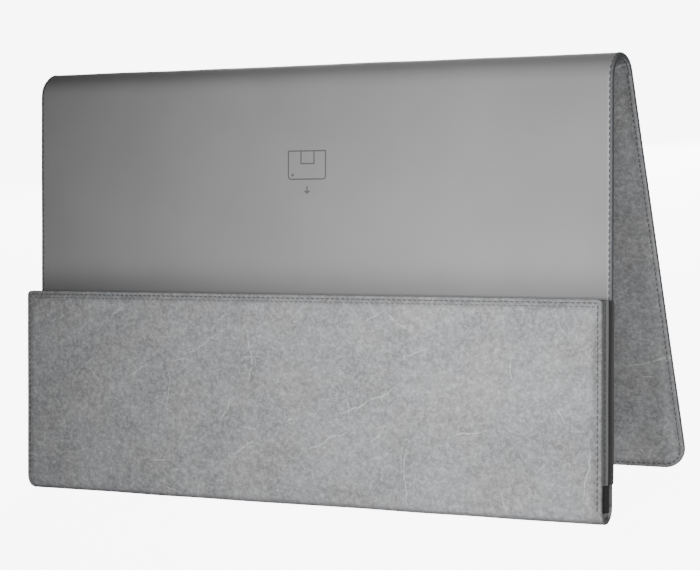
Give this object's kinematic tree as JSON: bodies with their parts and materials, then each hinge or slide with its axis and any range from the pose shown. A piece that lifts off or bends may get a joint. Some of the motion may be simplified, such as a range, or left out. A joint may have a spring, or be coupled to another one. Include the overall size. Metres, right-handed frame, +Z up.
{
  "type": "tablet case",
  "caption": "Fold-over tablet sleeve of two-layer leather: a gusseted pocket, a main panel, a rounded top fold and a full-length flap that also stands it up as a tent.",
  "frame": {"origin": "on the floor, at the middle of the footprint of the case standing as a tent", "axes": "+X along the width to the viewer's right, +Y towards the back, +Z up"},
  "size_m": [0.3022, 0.1086, 0.1988],
  "materials": {
    "skin": "matte mottled nubuck with pale creases",
    "lining": "smooth satin",
    "gusset": "matte",
    "stiffener": "matte",
    "magnet": "nickel plated",
    "keeper": "brushed",
    "thread": "matte twisted thread",
    "edge_paint": "satin edge coat",
    "print": "matte ink"
  },
  "bodies": {
    "main_panel": {"skin_main_panel": "skin", "board_main_panel": "stiffener", "lining_main_panel": "lining", "skin_bottom_fold_rear": "skin", "lining_bottom_fold_rear": "lining", "gusset_rear_leaf_left": "gusset", "gusset_rear_leaf_right": "gusset", "gusset_binding_left": "gusset", "gusset_binding_right": "gusset"},
    "pocket_front": {"skin_pocket_front": "skin", "board_pocket_front": "stiffener", "lining_pocket_front": "lining", "skin_bottom_fold_front": "skin", "lining_bottom_fold_front": "lining", "keeper_plate_left": "keeper", "keeper_plate_right": "keeper", "gusset_wall_left": "gusset", "gusset_wall_right": "gusset", "gusset_front_leaf_left": "gusset", "gusset_front_leaf_right": "gusset"},
    "fold_strip_1": {"skin_top_fold_1": "skin", "lining_top_fold_1": "lining"},
    "fold_strip_2": {"skin_top_fold_2": "skin", "lining_top_fold_2": "lining"},
    "flap": {"skin_flap": "skin", "board_flap": "stiffener", "lining_flap": "lining", "magnet_left": "magnet", "magnet_right": "magnet"}
  },
  "joints": [
    {"name": "pocket_mouth", "type": "hinge", "parent": "main_panel", "child": "pocket_front", "pos_m": [0, -0.0482, 0.00127], "axis": [1, 0, 0], "range_deg": [0, 2], "stiffness_Nm_per_rad": 1},
    {"name": "flap_fold_1", "type": "hinge", "parent": "main_panel", "child": "fold_strip_1", "pos_m": [0, -0.01306, 0.19259], "axis": [-1, 0, 0], "range_deg": [-113, 7.36]},
    {"name": "flap_fold_2", "type": "hinge", "parent": "fold_strip_1", "child": "fold_strip_2", "pos_m": [0, -0.00316, 0.198], "axis": [-1, 0, 0], "range_deg": [-113, 7.36]},
    {"name": "flap_fold_3", "type": "hinge", "parent": "fold_strip_2", "child": "flap", "pos_m": [0, 0.00714, 0.19342], "axis": [-1, 0, 0], "range_deg": [-113, 7.36]}
  ],
  "couplings": [
    {"joint": "flap_fold_2", "follows": "flap_fold_1", "ratio": 1},
    {"joint": "flap_fold_3", "follows": "flap_fold_1", "ratio": 1}
  ]
}
